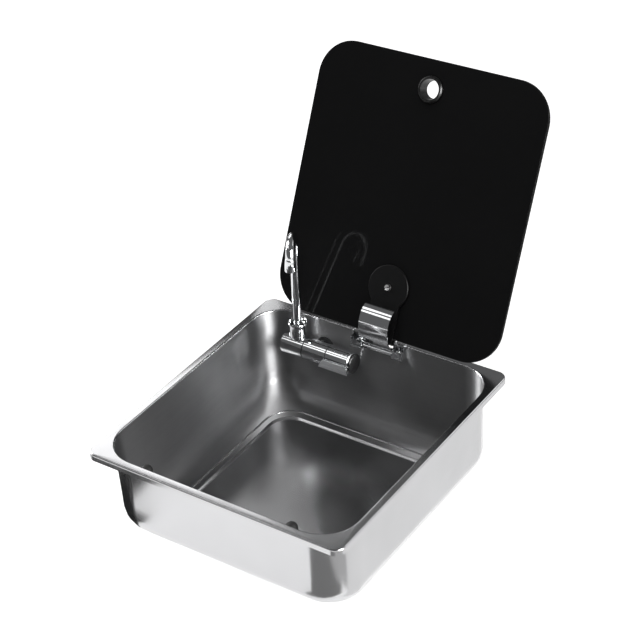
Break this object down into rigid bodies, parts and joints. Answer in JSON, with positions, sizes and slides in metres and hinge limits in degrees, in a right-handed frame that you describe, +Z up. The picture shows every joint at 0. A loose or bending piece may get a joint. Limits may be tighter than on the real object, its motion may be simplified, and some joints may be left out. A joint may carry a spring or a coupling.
{
  "type": "recessed sink with hinged glass lid",
  "caption": "Recessed camper sink: pressed steel bowl with turned-down rim, hinged black glass lid and a fold-down swivel tap inside the bowl",
  "frame": {"origin": "middle of the cut-out, level with the lower edge of the turned-down rim, which is the top of the worktop", "axes": "+X right along the front edge, +Y to the back where the lid is hinged, +Z up"},
  "size_m": [0.375, 0.5528, 0.516],
  "materials": {
    "bowl_steel": "pressed stainless sheet, rolled to a near mirror on the rim, softly brushed inside the bowl",
    "plain_steel": "turned steel, satin",
    "chrome_plate": "polished chrome plating",
    "black_glass": "opaque black toughened glass, polished, with a ground edge",
    "black_coat": "black powder coat, semi-gloss",
    "black_plastic": "black moulded plastic, slight sheen",
    "black_rubber": "matt black rubber"
  },
  "bodies": {
    "sink": {"sink_bowl": "bowl_steel", "rim_seal": "black_rubber", "drain_strainer": "plain_steel", "drain_gasket": "black_rubber", "drain_waste": "black_plastic", "drain_screw": "plain_steel", "lid_stop_left": "black_rubber", "lid_stop_right": "black_rubber", "hinge_bracket": "chrome_plate", "hinge_pin": "plain_steel", "link_pin": "plain_steel", "bracket_screw_left": "plain_steel", "bracket_screw_right": "plain_steel", "bracket_nut_left": "plain_steel", "bracket_nut_right": "plain_steel", "tap_body": "chrome_plate", "tap_seal": "black_rubber", "tap_nut": "plain_steel", "tap_fold_ring": "black_plastic", "tap_knob_ring": "black_plastic"},
    "lid": {"lid_glass": "black_glass", "finger_ring": "black_plastic", "lid_arm": "black_coat", "clamp_washer_inner": "black_rubber", "clamp_washer_outer": "black_rubber", "clamp_disc_outer": "black_coat", "lid_screw": "plain_steel"},
    "link": {"hinge_link": "chrome_plate"},
    "spout_mount": {"spout_base": "chrome_plate", "spout_collar": "chrome_plate"},
    "spout": {"spout_pipe": "chrome_plate", "spout_nozzle": "chrome_plate"},
    "knob": {"tap_knob": "chrome_plate", "tap_knob_cap": "black_plastic"}
  },
  "joints": [
    {"name": "lid_hinge", "type": "hinge", "parent": "sink", "child": "lid", "pos_m": [0, 0.1864, 0.0092], "axis": [1, 0, 0], "range_deg": [0, 116]},
    {"name": "link_fold", "type": "hinge", "parent": "sink", "child": "link", "pos_m": [0, 0.1813, -0.0055], "axis": [1, 0, 0], "range_deg": [0, 116]},
    {"name": "spout_fold", "type": "hinge", "parent": "sink", "child": "spout_mount", "pos_m": [-0.121, 0.1678, -0.031], "axis": [1, 0, 0], "range_deg": [0, 90]},
    {"name": "spout_swivel", "type": "hinge", "parent": "spout_mount", "child": "spout", "pos_m": [-0.121, 0.1678, -0.031], "axis": [0, 0.0454, 0.999], "range_deg": [-90, 60]},
    {"name": "knob_turn", "type": "hinge", "parent": "sink", "child": "knob", "pos_m": [-0.055, 0.1678, -0.031], "axis": [1, 0, 0], "range_deg": [-90, 0]}
  ],
  "couplings": [
    {"joint": "link_fold", "follows": "lid_hinge", "ratio": 1},
    {"joint": "spout_fold", "follows": "lid_hinge", "ratio": 0.7758}
  ]
}
